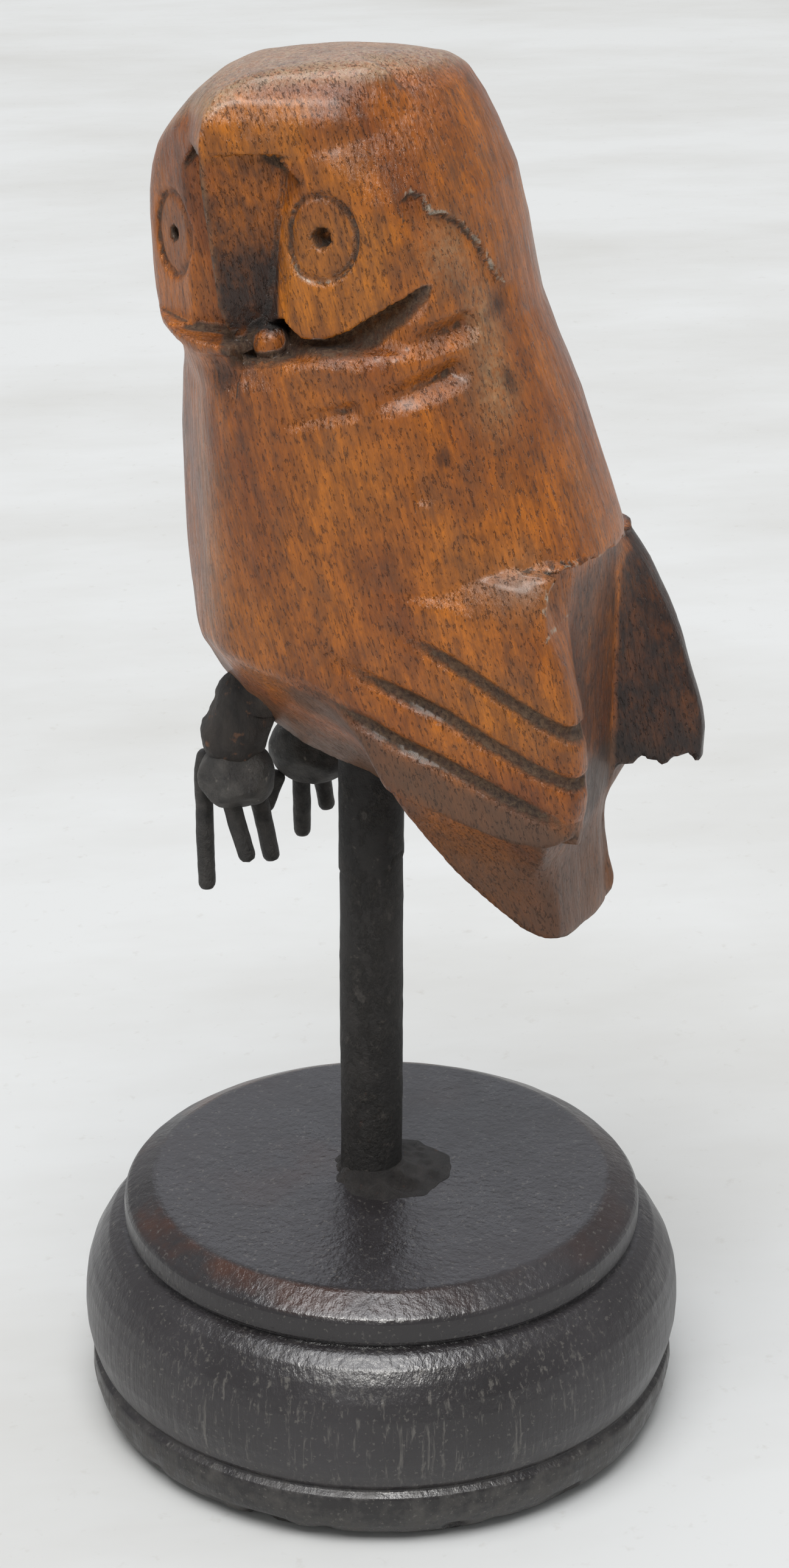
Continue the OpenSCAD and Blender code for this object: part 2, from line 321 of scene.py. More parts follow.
POST_AT = np.array([0.0, -1.5])
POST_R, POST_LOW, POST_TOP = 4.62, 30, 118
POST_ROUND = 72
SEAM_Z = 86.8
heights = np.arange(POST_LOW + 0.5, POST_TOP - 0.5, 0.6)
turn, height = np.meshgrid(turns(POST_ROUND), [POST_LOW, POST_LOW, *heights, POST_TOP, POST_TOP])
seam = SEAM_Z + 1.2 * np.cos(turn - 1.9) + 1.6 * ease(np.cos(turn - 1.35), 0.90, 0.99)
x, y = 4.7 * np.cos(turn), 4.7 * np.sin(turn)
radius = (POST_R + 0.12 * ease(height - seam, 0, 0.5) + 0.10 * unevenness(x, y, height * 0.5, 5, 11)
          + 0.05 * unevenness(x, y, height, 1.6, 12) - 0.15 * np.exp(-((height - seam) / 0.35) ** 2))
radius[[0, -1]] = 0.01
post_points, post_faces = rings_closed(POST_AT[0] + radius * np.cos(turn),
                                       POST_AT[1] + radius * np.sin(turn), height)

post_finish, tree, shader = finish("blackened_iron", 0.62, 0.4)
dark = range_of(tree, pattern(tree, 90, (1, 1, 2), detail=5, rough=0.6), 0.35, 0.7)
tone = layer(tree, dark, colour("#171514"), colour("#393532"))
scales = range_of(tree, pattern(tree, 300, (1, 1, 1.6), detail=7, rough=0.75, seed=0.9), 0.5, 0.62)
tone = layer(tree, times(tree, scales, 0.6), tone, colour("#4f4a45"))
tone = layer(tree, range_of(tree, pattern(tree, 700, detail=4, rough=0.7), 0.60, 0.72), tone,
             colour("#57514b"))
rust = times(tree, range_of(tree, pattern(tree, 520, detail=4, rough=0.7, seed=0.2), 0.66, 0.74),
              range_of(tree, pattern(tree, 60, detail=2, seed=0.5), 0.5, 0.62))
tone = layer(tree, times(tree, rust, 0.7), tone, colour("#5a3322"))
tree.links.new(tone, shader.inputs["Base Color"])
relief(tree, shader, plus(tree, pattern(tree, 900, detail=7, rough=0.7), scales), 0.0006)

post = make_piece("round_post", post_points, post_faces, post_finish)
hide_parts("post")

# --- Filler round the post -----------------------------------------------------------------
# Dark mastic pressed round the foot of the post by hand: an uneven low mound that thins out to
# nothing on the base's top, with a hollow at one side where a piece has come away.

HOLLOW_AT = (4.4, 5.0)
FILLER_ROUND, FILLER_ROWS = 120, 34
FILLER_IN = 3.9
turn, out = np.meshgrid(turns(FILLER_ROUND), np.linspace(0, 1, FILLER_ROWS))
rim_r = (8.7 + 3.3 * np.cos(turn - 1.75) + 0.35 * np.sin(3 * turn + 1) + 0.22 * np.sin(7 * turn)
         + 0.25 * np.sin(11 * turn + 2) + 0.12 * np.sin(23 * turn + 1))
spread_r = FILLER_IN + (rim_r - FILLER_IN) * out
x, y = POST_AT[0] + spread_r * np.cos(turn), POST_AT[1] + spread_r * np.sin(turn)
mound = 2.5 * (1 - out) ** 1.6 * (0.86 + 0.14 * np.sin(2 * turn))
lumps = 0.25 + 0.36 * unevenness(x, y, 0 * x, 1.3, 21) + 0.25 * unevenness(x, y, 0 * x, 3.0, 22)
mound = np.clip(mound + lumps * ease(1 - out, 0.0, 0.35), 0.05, 1.9)
hollow = np.exp(-(((x - HOLLOW_AT[0]) / 1.3) ** 2 + ((y - HOLLOW_AT[1]) / 2.4) ** 2) ** 2)
mound = BASE_TOP - 0.02 + np.where(out > 0.97, -0.15, mound * (1 - 0.92 * hollow))
under = np.full_like(mound, BASE_TOP - 0.5)
filler_points, filler_faces = rings_closed(np.concatenate([x, x[::-1]]),
                                           np.concatenate([y, y[::-1]]),
                                           np.concatenate([mound, under]))
seam_top = np.arange(FILLER_ROUND)
seam_low = (2 * FILLER_ROWS - 1) * FILLER_ROUND + seam_top
closing = np.stack([seam_low, np.roll(seam_low, -1), np.roll(seam_top, -1), seam_top], -1)
filler_faces = np.concatenate([filler_faces, closing])[:, ::-1]

filler_finish, tree, shader = finish("dark_mastic", 0.55, 0.45)
tone = layer(tree, range_of(tree, pattern(tree, 420, detail=5, rough=0.65), 0.35, 0.7),
             colour("#1f1c1b"), colour("#3a3532"))
tone = layer(tree, range_of(tree, pattern(tree, 300, detail=3, rough=0.6, seed=0.4), 0.64, 0.73), tone,
             colour("#5b3a28"))
tree.links.new(tone, shader.inputs["Base Color"])
relief(tree, shader, pattern(tree, 1100, detail=6, rough=0.7), 0.0009)

filler = make_piece("filler_mound", filler_points, filler_faces, filler_finish)
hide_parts("filler_collar")

# --- Owl -----------------------------------------------------------------------------------
# The owl is cut from one block with knife and gouge: a rounded body, a head turned to its left
# with two flat cheeks and a wedge of a beak, folded wings with three gouged grooves each, and a
# blunt tail. The wood is oiled to a satin shine, and dirt has filled its cuts; the cuts and
# hollows also carry painted shade.

# Height, front, back and half width of the block, and the power of the curve of its back
LEVELS = np.array([
    [80, -24, 33.5, 23.6, 2.6], [112, -24.6, 33.5, 24, 2.6], [122, -25.5, 33.5, 24, 2.6],
    [130, -27.3, 33.5, 24.4, 2.6], [137.5, -28.2, 33.5, 24.5, 2.6], [140, -28.6, 33.3, 24.5, 2.6],
    [144, -29.1, 32.0, 24.5, 2.4], [151, -29.3, 29.4, 24.4, 2.35], [158, -28.6, 27.0, 24.2, 2.3],
    [164.5, -27.8, 24.2, 24, 2.2], [168, -29.6, 22.6, 24.9, 2.2], [171, -30.6, 21.3, 25.2, 2.2],
    [175, -31.2, 20.3, 25.4, 2.2], [181, -31.6, 19.0, 25.4, 2.2], [184.4, -31.3, 18.0, 25, 2.2],
    [188, -30.4, 17.1, 24.5, 2.2], [191, -29.2, 15.8, 23.5, 2.2], [194, -27.3, 14.6, 22.2, 2.2],
    [197.3, -25.1, 13.0, 20.5, 2.2], [200.5, -21.8, 11.0, 18, 2.2], [203, -17, 8.6, 14.5, 2.2],
    [208, -6, 0, 6, 2.2]]).T
# Distance back of the valley between the wings, and of each wing's rear edge at each height
VALLEY = 31.0
LEFT_WING_TOP = ([104, 106, 110, 116, 120, 124, 128, 131.5, 134, 138, 141],
                 [34.9, 35.2, 35.6, 35.4, 34.9, 34.1, 32.9, 31.4, 30.2, 28.8, 28.4])
RIGHT_WING_TOP = ([104, 107, 110, 112.4, 115, 118, 120.4, 123, 125.7, 128.2, 131, 133.3, 136, 141],
                  [42.4, 42.5, 42, 41.3, 40.4, 39.4, 38.6, 37.5, 36.2, 34.8, 33.3, 31.7, 29.6, 27.4])
# Height of a wing's lower edge at each distance back
WING_EDGE = ([-4, 1.5, 6.9, 13.8, 21.6, 26.8, 31.1, 34, 38.5],
             [114.4, 113.1, 110.8, 107.6, 105.2, 103.8, 103.6, 104.6, 107.5])
# The tail's half width and its back at each height, its shift to the right and the tips above it
TAIL_SIDE = ([82, 90, 97, 104, 112, 122], [12.8, 14.4, 16.8, 19.6, 21.4, 22.4])
TAIL_SHIFT = 2.2
TIPS_Z = 103.0
TAIL_BACK = ([82, 85, 88, 92, 97, 101, 105], [33.2, 32.7, 31.8, 31.1, 30.7, 31.2, 32])
# Height of the underside at each distance back
BELLY = ([-27, -22, -16, -10, -5, 0, 4, 7, 16, 25, 28, 32],
         [125, 116.5, 110, 106.5, 104.7, 103.3, 101, 99, 91.3, 83.7, 82.6, 82.2])
# Grooves of each wing, as (distance back, height), and their half width and depth
GROOVES = (((10.2, 132.8), (18, 129), (24.8, 124.8), (30.5, 121.6), (38.6, 117.2)),
           ((1.7, 127.5), (9.2, 124.5), (17.3, 121.1), (23, 118), (29.9, 114.5), (38.8, 110.7)),
           ((-3.4, 123.3), (6.6, 118.9), (11.6, 116.4), (17.1, 114.3), (25, 110.6), (35, 106.2)))
GROOVE_HALF, GROOVE_DEEP = 1.45, 1.3
# Height of the step between back and wings at each sideways distance
STEP_LINE = ([-20, -12, -5, 2.5, 10.5, 14.6, 17, 18.9, 20.1, 23],
             [136.2, 137.2, 138.4, 139.0, 140.1, 140.8, 140.3, 139.4, 136.8, 132.5])
# Middle of the head, the way its face looks, and how far out cheeks, ridge and hollow lie
HEAD_Y = -5.7
FACE_WAY = (0.948, -0.317)
MM_PER_DEGREE = 0.44
CHEEK_OUT = 22.4
BEAK_RIDGE = ([168, 170, 174, 180, 187, 192, 195.5, 198, 200.5, 203, 205],
              [22, 22.8, 25.4, 26.3, 27.5, 28.2, 28.0, 27.2, 25.8, 23.4, 20])
BANK_OUT = ([172, 187, 193], [18.5, 17.7, 17.1])
# Edges of the cut between head and body, as heights at each angle round the head
NECK_TOP = ([4, 8, 15, 19, 26, 34, 42, 53, 60, 66],
            [169.6, 170.6, 172.2, 172.6, 170.4, 170.4, 171.9, 175.4, 177.2, 178.4])
NECK_LOW = ([4, 15, 29, 43, 51, 59, 66], [165.6, 166.4, 168.2, 168.6, 169.7, 173.5, 177])
FAR_NECK_CUT = 165.9
CROWN_TOP = 204.62
BROW_Z, BEAK_TIP_Z, HOLLOW_LOW_Z = 194, 169.6, 168.8
# Shares of the sideways distance and of the reach ahead in each plane of the face
CHEEK_LEAN = (0.3955, 0.9184)
FLANK_LEAN = (0.804, 0.595)
BROW_LEAN = (0.643, 0.766)
BANK_LEAN = (0.2079, 0.9781)

# Each eye's sideways distance, height and half width of the pupil hole, left eye first
EYES = ((12.0, 183.6, 1.3), (-13.3, 180.3, 0.95))
EYE_HALF_WIDTH, EYE_HALF_HEIGHT = 4.7, 5.45
CHEEK_COSINE = 0.918
NUB_AT, NUB_R = (19.0, 3.7, 168.7), 2.4


def both_over(a, b, blend):
    """The larger of two fields, eased over a width of blend where they are near each other."""
    share = np.clip(0.5 + (a - b) / (2 * blend), 0, 1)
    return b + (a - b) * share + blend * share * (1 - share)


def both_under(a, b, blend):
    """The smaller of two fields, eased in the same way."""
    return -both_over(-a, -b, blend)


def far_from_line(u, v, line):
    """Distance in a plane to a line of straight parts, and how far along it the near point is."""
    best, run = np.full(np.shape(u), 1e9), np.zeros(np.shape(u))
    parts = len(line) - 1
    for k in range(parts):
        (a, b), (c, d) = line[k], line[k + 1]
        share = np.clip(((u - a) * (c - a) + (v - b) * (d - b)) / ((c - a) ** 2 + (d - b) ** 2), 0, 1)
        gap = np.hypot(u - a - share * (c - a), v - b - share * (d - b))
        run = np.where(gap < best, (k + share) / parts, run)
        best = np.minimum(best, gap)
    return best, run


def face_axes(x, y):
    """Reach towards the way the face looks, and the sideways distance from its middle line."""
    y = y - HEAD_Y
    return x * FACE_WAY[0] + y * FACE_WAY[1], -x * FACE_WAY[1] + y * FACE_WAY[0]


def bearing(x, y):
    """Angle round the head in degrees from the middle of the face, more towards its left."""
    ahead, aside = face_axes(x, y)
    return np.degrees(np.arctan2(aside, ahead))


def round_head(x, y):
    """Distance round the head from the middle of the face, in millimetres of a 25 mm radius."""
    return MM_PER_DEGREE * bearing(x, y)


def step_at(x):
    """Height of the step where the back ends and the wings begin, which dips at the left side."""
    return np.interp(x, *STEP_LINE) + 0.2 * np.sin(x * 0.9)


def block(x, y, z):
    """The rounded block: at each height an oval, whose back is squarer over the wings, set against
    the keel of the breast, the underside and the planes that cut the tail free of the wings."""
    front, back, half, square = (np.interp(z, LEVELS[0], LEVELS[k]) for k in range(1, 5))
    side = np.abs(x)
    middle = (front + np.minimum(back, VALLEY)) / 2
    # Below the step the wings stand out at both sides of a valley
    top = np.where(x < 0, np.interp(z, *RIGHT_WING_TOP), np.interp(z, *LEFT_WING_TOP))
    wing = (VALLEY + (top - VALLEY) * np.clip((side - 10.5) / 6.5, 0, 1)
            + 0.13 * np.clip(side - 17, 0, 6))
    step_height = 0.8 + 9 * ease(x, 17, 21.5) + 2 * fade(x, -19, -15)
    above = np.clip((z - step_at(x)) / step_height + 0.5, 0, 1)
    back = wing + (back - wing) * above
    half = half - 2.1 * ease(y, 4, 40) * fade(z, 136, 146)
    power = np.where(y < middle, 2.4, 14 + (square - 14) * above)
    reach = np.where(y < middle, middle - front, back - middle)
    size = ((side / half) ** power + (np.abs(y - middle) / reach) ** power) ** (1 / power)
    shape = np.hypot(x, y - middle) * (1 - 1 / np.maximum(size, 0.05))
    keel = 0.55 * side - 0.83 * y - 25.4 - 4 * ease(np.abs(z - 142), 18, 27)
    shape = both_over(shape, keel, 2.6)
    # The underside slopes up to both sides at the front, and hangs lower on the right at the back
    slope = 1.0 - 0.86 * ease(y, 0, 22)
    tilt = 0.11 * np.clip(x, -14, 14) * ease(y, 12, 24)
    under = np.interp(y, *BELLY) + tilt + slope * np.clip(side - 5, 0, 30) - z
    shape = both_over(shape, under * 0.72, 0.9)
    tail_side = np.abs(x + TAIL_SHIFT * fade(z, 96, 108)) - np.interp(z, *TAIL_SIDE)
    below_wing = (np.interp(y, *WING_EDGE) - z) * 0.8
    shape = both_over(shape, np.minimum(tail_side, below_wing), 0.45)
    # The tail's back turns a little towards the left, and both its corners are taken off
    turned = 0.15 * x + 0.5 * np.clip(-x - 6, 0, 15)
    tail_back = (y + 0.25 * np.clip(x - 10, 0, 15) + turned * fade(z, 94, 101)
                 - np.interp(z, *TAIL_BACK))
    ragged = np.where(x < 0, 0.6 * np.sin(y * 1.3) + 0.25 * np.sin(y * 3.1 + 1), 0)
    below_tips = TIPS_Z + ragged - z
    return both_over(shape, np.minimum(tail_back, below_tips), 0.4 + 2.6 * fade(z, 94, 100))


def crown_at(x, y):
    """Height of the crown, which is highest over the left cheek and falls away behind it."""
    forward = 0.94 * x + 0.342 * y - 6
    fall = np.where(forward < 0, 0.0085, 0.004)
    across = 0.94 * y - 0.342 * x
    return (CROWN_TOP - fall * forward ** 2 - 0.006 * (across + 4) ** 2
            - 0.03 * np.clip(-across - 14, 0, 20) ** 2)


def face(x, y, z):
    """The cuts of the face: the cheeks' planes, the wedge of forehead and beak that stands out
    of them, and the hollow cut down beside the beak."""
    ahead, aside = face_axes(x, y)
    wide = np.abs(aside)
    cheeks = (CHEEK_LEAN[0] * wide + CHEEK_LEAN[1] * ahead - CHEEK_OUT
              + 0.05 * np.clip(z - BROW_Z, 0, 12) ** 2)
    ridge = np.interp(z, *BEAK_RIDGE)
    flank = FLANK_LEAN[0] * wide + FLANK_LEAN[1] * (ahead - ridge)
    brow = BROW_LEAN[0] * wide + BROW_LEAN[1] * (ahead - ridge)
    wedge = np.where(z > BROW_Z, brow, flank)
    wedge = both_over(wedge, wide - np.where(aside > 0, 16.0, 9.5), 4.0)
    wedge = both_over(wedge, np.maximum((BEAK_TIP_Z - z) * 0.9, 8 - ahead), 0.4)
    bank = np.interp(z, *BANK_OUT) + BANK_LEAN[0] * wide - BANK_LEAN[1] * ahead
    ceiling = z - BROW_Z + 1.1 * np.clip(wide - 6.6, 0, 9)
    hollow = np.maximum(np.maximum(ceiling, HOLLOW_LOW_Z - z), np.maximum(bank, -flank))
    return cheeks, wedge, hollow


def cuts(x, y, z):
    """Depth of wood taken by the wing grooves and by the scooped cut between head and body."""
    side = np.abs(x)
    ahead, aside = face_axes(x, y)
    taken = np.zeros(np.shape(x))
    on_wing = (ease(side, 10, 15) * fade(z, 136, 140)
               * ease(side - 0.9 * np.clip(y - 30, 0, 12), 11, 14))
    for line in GROOVES:
        gap, run = far_from_line(y, z, line)
        deep = (0.25 + 0.75 * ease(run, 0, 0.3)) * (1 - 0.7 * ease(run, 0.86, 1))
        hollow = np.clip(1 - (gap / GROOVE_HALF) ** 1.3, 0, 1)
        taken = np.maximum(taken, on_wing * GROOVE_DEEP * deep * hollow)
    around = bearing(x, y)
    left = around > 4
    far_top = FAR_NECK_CUT + 1.7 + 0.4 * np.sin(around * 0.15)
    top = np.where(left, np.interp(around, *NECK_TOP), far_top)
    low = np.where(left, np.interp(around, *NECK_LOW), FAR_NECK_CUT - 3.4)
    fall = (top - z) / np.maximum(top - low, 0.7)
    depth = np.where(left, 3.0 * fade(around, 55, 67), 1.0 * ease(around, -130, -60))
    depth = depth + 0.9 * np.exp(-((aside - 3.2) / 3.0) ** 2) * (ahead > 0)
    scoop = np.clip((top - z) / 0.5, 0, 1) * (1 - ease(fall, 0.1, 1.75))
    return taken + depth * scoop


def eye_axes(aside, z, eye):
    """Place on the slanted plane of a cheek, across and up from the middle of an eye."""
    return (aside - eye[0]) / CHEEK_COSINE, z - eye[1]


def eye_ring(across, up):
    """Distance in millimetres outside the oval groove round an eye, less than 0 inside it."""
    return (np.hypot(across / EYE_HALF_WIDTH, up / EYE_HALF_HEIGHT) - 1) * 5


def eyes(shape, cheeks, x, y, z):
    """Adds the eyes: a ring cut by a narrow gouge, a slightly sunk disc and a square pupil hole."""
    ahead, aside = face_axes(x, y)
    for eye in EYES:
        across, up = eye_axes(aside, z, eye)
        ring = eye_ring(across, up)
        front = ease(ahead, 8, 12)
        shape = shape + front * (0.62 * np.exp(-(ring / 0.5) ** 2) + 0.22 * fade(ring, -0.8, 0))
        hole = np.maximum(np.abs(across + 0.2 * up), np.abs(up))
        hole = np.maximum(hole, 0.74 * (np.abs(across) + np.abs(up))) - eye[2]
        hole = np.maximum(hole, -2.6 - cheeks)
        shape = both_over(shape, -np.where(ahead > 8, hole, 9.0), 0.3)
    return shape


# Gouge marks on the left side: start and end as (distance round the head, z), width and depth
MARKS = (((10.1, 159.5), (18.5, 161.9), 1.5, 1.2), ((22.6, 163.2), (31, 166.3), 2.3, 2.1),
         ((24.6, 170.3), (33.4, 171.9), 2.3, 2.1), ((25.1, 154.3), (26.4, 150.8), 1.2, 0.7))
# Upper edge of the chipped hollow behind the left eye, in the same measures
CHIP = ((25.5, 188.7), (26.8, 189.6), (29.0, 188.8), (29.5, 186.6), (31.7, 186.5), (35.2, 184.4),
        (37.4, 182), (38.7, 179.5), (41.4, 175.8))


def owl(x, y, z):
    """Height over the owl's surface in millimetres: below 0 is wood. The block, the face and the
    cuts are fields of the same kind, joined by taking the larger, or added where wood is taken."""
    cheeks, wedge, hollow = face(x, y, z)
    shape = both_over(block(x, y, z), cheeks - 12 * fade(z, 167.5, 169.5), 0.7)
    shape = both_under(shape, wedge, 0.4 + 1.8 * ease(z, 195, 199))
    shape = both_over(shape, -hollow, 0.35)
    shape = both_over(shape, (z - crown_at(x, y)) * 0.9 - 40 * fade(z, 178, 188), 1.6)
    shape = shape + cuts(x, y, z)
    shape = eyes(shape, cheeks, x, y, z)
    ahead, aside = face_axes(x, y)
    nub = np.sqrt((ahead - NUB_AT[0]) ** 2 + (aside - NUB_AT[1]) ** 2 + (z - NUB_AT[2]) ** 2) - NUB_R
    shape = both_under(shape, nub, 0.4)
    way_round = round_head(x, y)
    for start, end, width, depth in MARKS:
        gap, run = far_from_line(way_round, z, (start, end))
        shape = shape + depth * np.clip(1 - gap / width, 0, 1) * (0.4 + 0.6 * run)
    gap, run = far_from_line(way_round, z, CHIP)
    inside = ((z < np.interp(way_round, *np.transpose(CHIP))) & (z > 150)
              & (way_round > CHIP[0][0]) & (way_round < 46))
    deep = 1.0 * np.exp(-gap / 5) * fade(way_round, 39, 45) * ease(z, 152, 166)
    shape = shape + np.where(inside, deep * np.clip(gap / 0.5, 0, 1), 0)
    return (shape + 0.22 * unevenness(x, y, z * 0.6, 7.5, 31)
            + 0.05 * unevenness(x, y, z * 0.4, 1.8, 32))


def spaced(start, end, coarse, zones):
    """Places from start to end a coarse step apart, or a fine step in each zone."""
    places = [start]
    while places[-1] < end:
        step = coarse
        for low, high, fine in zones:
            if low <= places[-1] < high:
                step = min(step, fine)
        places.append(places[-1] + step)
    return np.array(places)


def skin(field, xs, ys, zs):
    """The surface where a field is 0. Each cell of the grid that the surface passes through gets
    one point, at the mean of the crossings of its edges, and each crossed edge joins four cells."""
    gx, gy, gz = np.meshgrid(xs, ys, zs, indexing="ij")
    value = np.empty(gx.shape)
    for k in range(0, len(xs), 12):
        value[k:k + 12] = field(gx[k:k + 12], gy[k:k + 12], gz[k:k + 12])
    wood = value < 0
    shape = np.array(value.shape)
    total, count = np.zeros((*(shape - 1), 3)), np.zeros(shape - 1)
    crossed = []
    for axis in range(3):
        one = [slice(None)] * 3
        two = [slice(None)] * 3
        one[axis], two[axis] = slice(None, -1), slice(1, None)
        one, two = tuple(one), tuple(two)
        edge = np.argwhere(wood[one] != wood[two])
        far = edge.copy()
        far[:, axis] += 1
        a, b = value[tuple(edge.T)], value[tuple(far.T)]
        start = np.stack([xs[edge[:, 0]], ys[edge[:, 1]], zs[edge[:, 2]]], -1)
        end = np.stack([xs[far[:, 0]], ys[far[:, 1]], zs[far[:, 2]]], -1)
        spot = start + (a / (a - b))[:, None] * (end - start)
        crossed.append((axis, edge, a < 0))
        others = [k for k in range(3) if k != axis]
        for s in (0, 1):
            for t in (0, 1):
                cell = edge.copy()
                cell[:, others[0]] -= s
                cell[:, others[1]] -= t
                np.add.at(total, tuple(cell.T), spot)
                np.add.at(count, tuple(cell.T), 1)
    used = count > 0
    number = np.full(used.shape, -1)
    number[used] = np.arange(used.sum())
    points = total[used] / count[used][:, None]
    quads = []
    for axis, edge, outward in crossed:
        others = [k for k in range(3) if k != axis]
        corners = []
        for s, t in ((1, 1), (0, 1), (0, 0), (1, 0)):
            cell = edge.copy()
            cell[:, others[0]] -= s
            cell[:, others[1]] -= t
            corners.append(number[tuple(cell.T)])
        quad = np.stack(corners, -1)
        flip = outward if axis != 1 else ~outward
        quad[~flip] = quad[~flip][:, ::-1]
        quads.append(quad)
    return points, np.concatenate(quads)


def slope_of(field, points, step=0.08):
    """Gradient of a field at each point, from the difference over a small step each way."""
    parts = []
    for axis in range(3):
        shift = np.zeros(3)
        shift[axis] = step
        ahead, behind = points + shift, points - shift
        parts.append((field(*ahead.T) - field(*behind.T)) / (2 * step))
    return np.stack(parts, -1)


# Width of the grid's cells, which are finer over the head
CELL = 0.72
owl_points, owl_faces = skin(owl, spaced(-27, 27, CELL, []), spaced(-33, 43.5, CELL, [(-28, 9, 0.5)]),
                             spaced(79, 207, CELL, [(164, 196, 0.48)]))
# Each point moves along the gradient until it lies on the surface
for _ in range(3):
    slope = slope_of(owl, owl_points)
    steep = np.maximum((slope ** 2).sum(-1), 0.25)
    move = -owl(*owl_points.T)[:, None] * slope / steep[:, None]
    owl_points = owl_points + np.clip(move, -0.35, 0.35)

# Dirt, wear, stains, painted shade and a painted highlight, worked out at each point of the skin
slope = slope_of(owl, owl_points, 0.2)
out = slope / np.maximum(np.linalg.norm(slope, axis=1, keepdims=True), 1e-6)
px, py, pz = owl_points.T
# Painted shade: a share that grows where nearby wood closes the surface in, as in recesses and creases
recess_shade = 1 - np.clip(owl(*(owl_points + out * 1.6).T) / 1.5, 0, 1)
ahead, aside = face_axes(px, py)


def patch(middle, size, power=2):
    """A soft oval spot: 1 at its middle, falling away over its half lengths."""
    far = sum(((p - m) / s) ** 2 for p, m, s in zip((px, py, pz), middle, size))
    return np.exp(-far ** (power / 2))


def within(value, low, high, soft):
    """1 from low to high, eased down to 0 over a soft width past each end."""
    return ease(value, low - soft, low) * fade(value, high, high + soft)


def spots(rows):
    """The sum of soft oval spots, each with its own share."""
    return sum(share * patch(middle, size) for share, middle, size in rows)


# Share, middle and half lengths of the spots of each paint
STAIN_SPOTS = ((0.62, (22.4, -13, 163.2), (5, 3.8, 4.6)), (0.8, (8.8, 19.5, 173.6), (2.4, 1.6, 1.6)),
               (0.6, (11.4, 21.7, 164.7), (2, 2, 3)), (0.6, (20.7, 16.1, 156.3), (2, 1.5, 1.5)))
PALE_SPOTS = ((0.5, (15, 14.5, 181.5), (4, 4, 5)), (0.55, (12, 18.6, 173), (3.4, 3, 6)),
              (0.6, (13.5, 20.6, 163.5), (3.4, 3, 7)), (0.5, (18, 26.5, 139), (3.5, 3.5, 4)),
              (0.3, (20, -20, 140), (6, 6, 22)))
GLOW_SPOTS = ((0.7, (21, 2, 191), (5, 5, 6)), (0.6, (23, 4, 152), (8, 10, 9)),
              (0.5, (23, -6, 132), (6, 9, 10)), (0.8, (23, 27, 122), (6, 9, 7)),
              (0.5, (23, 22, 142), (5, 8, 7)))
SHOULDER = ((21.5, 26, 139.5), (4, 7, 3))
NECK_BARE = ((20.6, -8.2, 168.9), (3, 3, 3))
UNDER_GROOVES = ((-3.4, 119.3), (11.6, 112.4), (35, 102.2))
KNIFE_ARC = ((29.8, 131.9), (30.8, 133.3), (32.4, 133.6), (33.9, 133.3))

# Dirt in the neck's cuts and the grooves, and painted shade wherever nearby wood closes the surface in
# and along the far side's neck cut
around = bearing(px, py)
neck_top, neck_low = np.interp(around, *NECK_TOP), np.interp(around, *NECK_LOW)
neck = ease(neck_top - pz, 0, 0.4) * ease(pz - neck_low, -0.8, 0.6) * within(around, 2, 64, 4)
neck = neck * (1 - patch(*NECK_BARE, 6))
# Painted shade: a dark line in the far side's neck cut, under the overhang of the far cheek
far_neck_shade = within(FAR_NECK_CUT + 2.0 - pz, 0, 2.2, 1.2) * within(around, -100, -8, 12)
grooved = np.clip(cuts(px, py, pz) / 1.1, 0, 1) * (pz < 140)
dirt_and_shade = np.clip(recess_shade * 1.6 - 0.12 + 0.75 * neck + 0.3 * far_neck_shade + 1.0 * grooved, 0, 1)

# Dark stain beside and along the beak, inside the wings and round the eyes, and painted shade on the
# right front
beak_side = within(aside, 0.5, 5.6, 0.9) * within(pz, 167, 193.5, 0.8) * ease(ahead, 16, 18)
beak_line = within(aside, -2.6, -0.4, 0.7) * within(pz, 172, 194, 1.5) * ease(ahead, 20, 23)
inner_wing = within(px, -19, -9.5, 1.5) * within(py, 31.5, 43, 0.5) * within(pz, 103, 136, 3)
outer_strip = within(px, -23, -17.4, 0.6) * within(py, 30, 43, 1)
valley = within(px, -9, 12, 2) * ease(py, 29, 31) * within(pz, 100, 136, 3)
# Painted shade along the right front, the far edge of the breast
far_front_shade = fade(px * 0.55 + py * 0.83, -26, -22.5)
left_ring, right_ring = (eye_ring(*eye_axes(aside, pz, eye)) for eye in EYES)
ring_gap = np.minimum(np.abs(left_ring), np.abs(right_ring))
stain = np.clip(
    beak_side * (0.36 + 0.6 * fade(pz, 177, 188)) * ease(pz, 169.5, 171) + 0.8 * beak_line
    + 0.88 * inner_wing + 0.9 * outer_strip + 0.5 * far_front_shade + 0.6 * valley
    + spots(STAIN_SPOTS), 0, 1)
stain = np.maximum(stain, 0.5 * np.exp(-(ring_gap / 0.55) ** 2) * (ahead > 10))

# Bare pale wood on the crown's edge and where the finish has worn away, and a painted highlight along
# the beak's ridge
worn_crown = ease(pz - crown_at(px, py), -2.4, -0.3)
# Painted highlight: a thin pale line along the beak's ridge
ridge_highlight = np.exp(-(aside / 0.35) ** 2) * within(pz, 171, 193, 1) * ease(ahead, 22, 24)
pale_wear_and_highlight = np.clip(0.9 * worn_crown + 0.55 * ridge_highlight + spots(PALE_SPOTS), 0, 1)

# Golden wood under clear oil on the left cheek, the forehead and the left side
cheek = within(aside, 8, 19, 3) * within(pz, 173, 184, 4)
forehead = within(aside, -2, 9, 2) * within(pz, 194, 200, 2)
glow = np.clip(1.0 * cheek + 0.8 * forehead + spots(GLOW_SPOTS), 0, 1)

